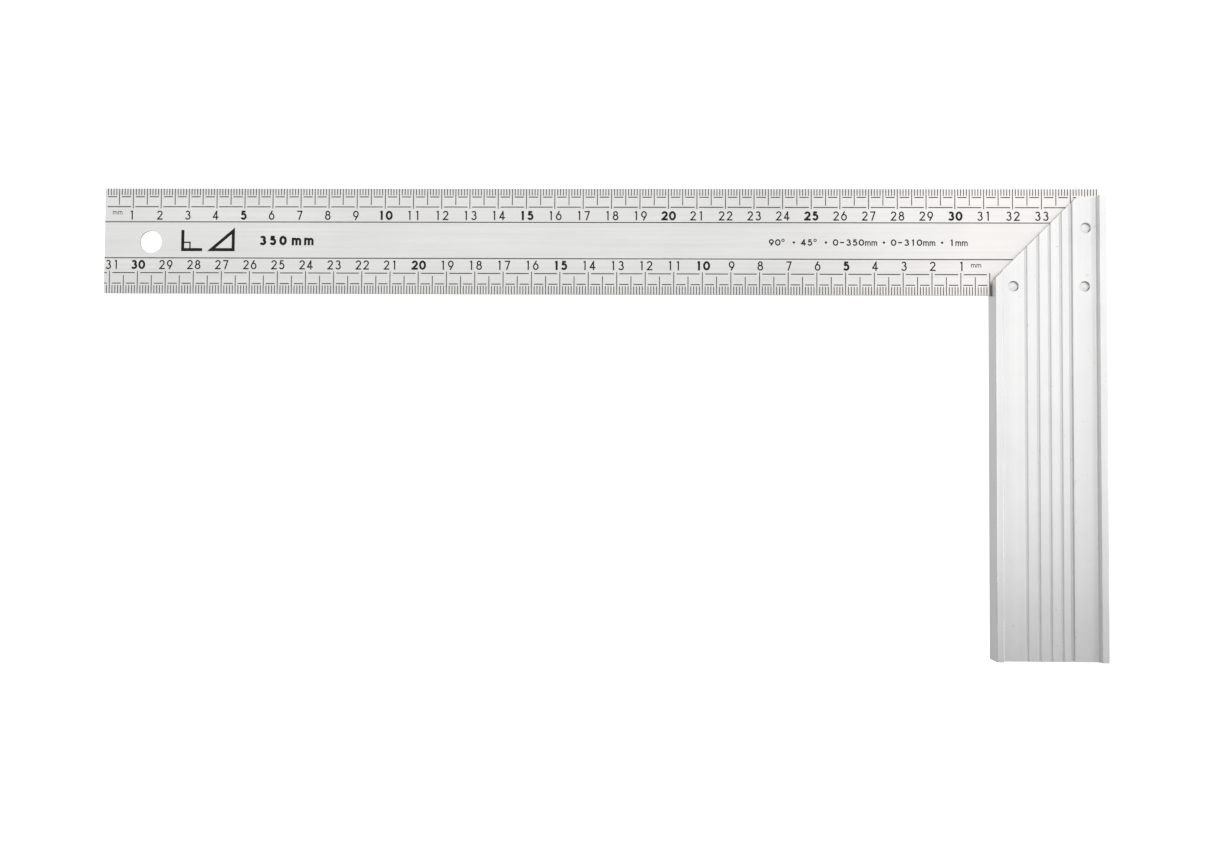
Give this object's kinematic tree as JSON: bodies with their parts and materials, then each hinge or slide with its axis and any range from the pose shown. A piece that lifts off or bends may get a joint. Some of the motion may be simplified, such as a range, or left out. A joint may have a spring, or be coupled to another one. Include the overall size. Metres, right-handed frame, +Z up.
{
  "type": "try square",
  "caption": "Carpenter's try and mitre square: a flat steel rule with millimetre scales, riveted at a right angle into a slotted aluminium stock with a 45 degree end.",
  "frame": {"origin": "the inner corner of the right angle, straight below it on the plane the square lies on: where the stock's inner face meets the line of the blade's inner edge", "axes": "+X across the stock from its inner face to its outer face, so the blade runs out along -X; +Y along the stock, from the blade's inner edge to its outer edge; +Z up, out of the face that carries the scales"},
  "size_m": [0.3511, 0.1639, 0.012],
  "materials": {
    "stock_aluminium": "satin",
    "blade_steel": "satin",
    "rivet_aluminium": "satin",
    "scale_marks": "matte"
  },
  "bodies": {
    "root": {"stock": "stock_aluminium", "blade": "blade_steel", "rivet_1": "rivet_aluminium", "rivet_2": "rivet_aluminium", "rivet_3": "rivet_aluminium"}
  },
  "joints": []
}
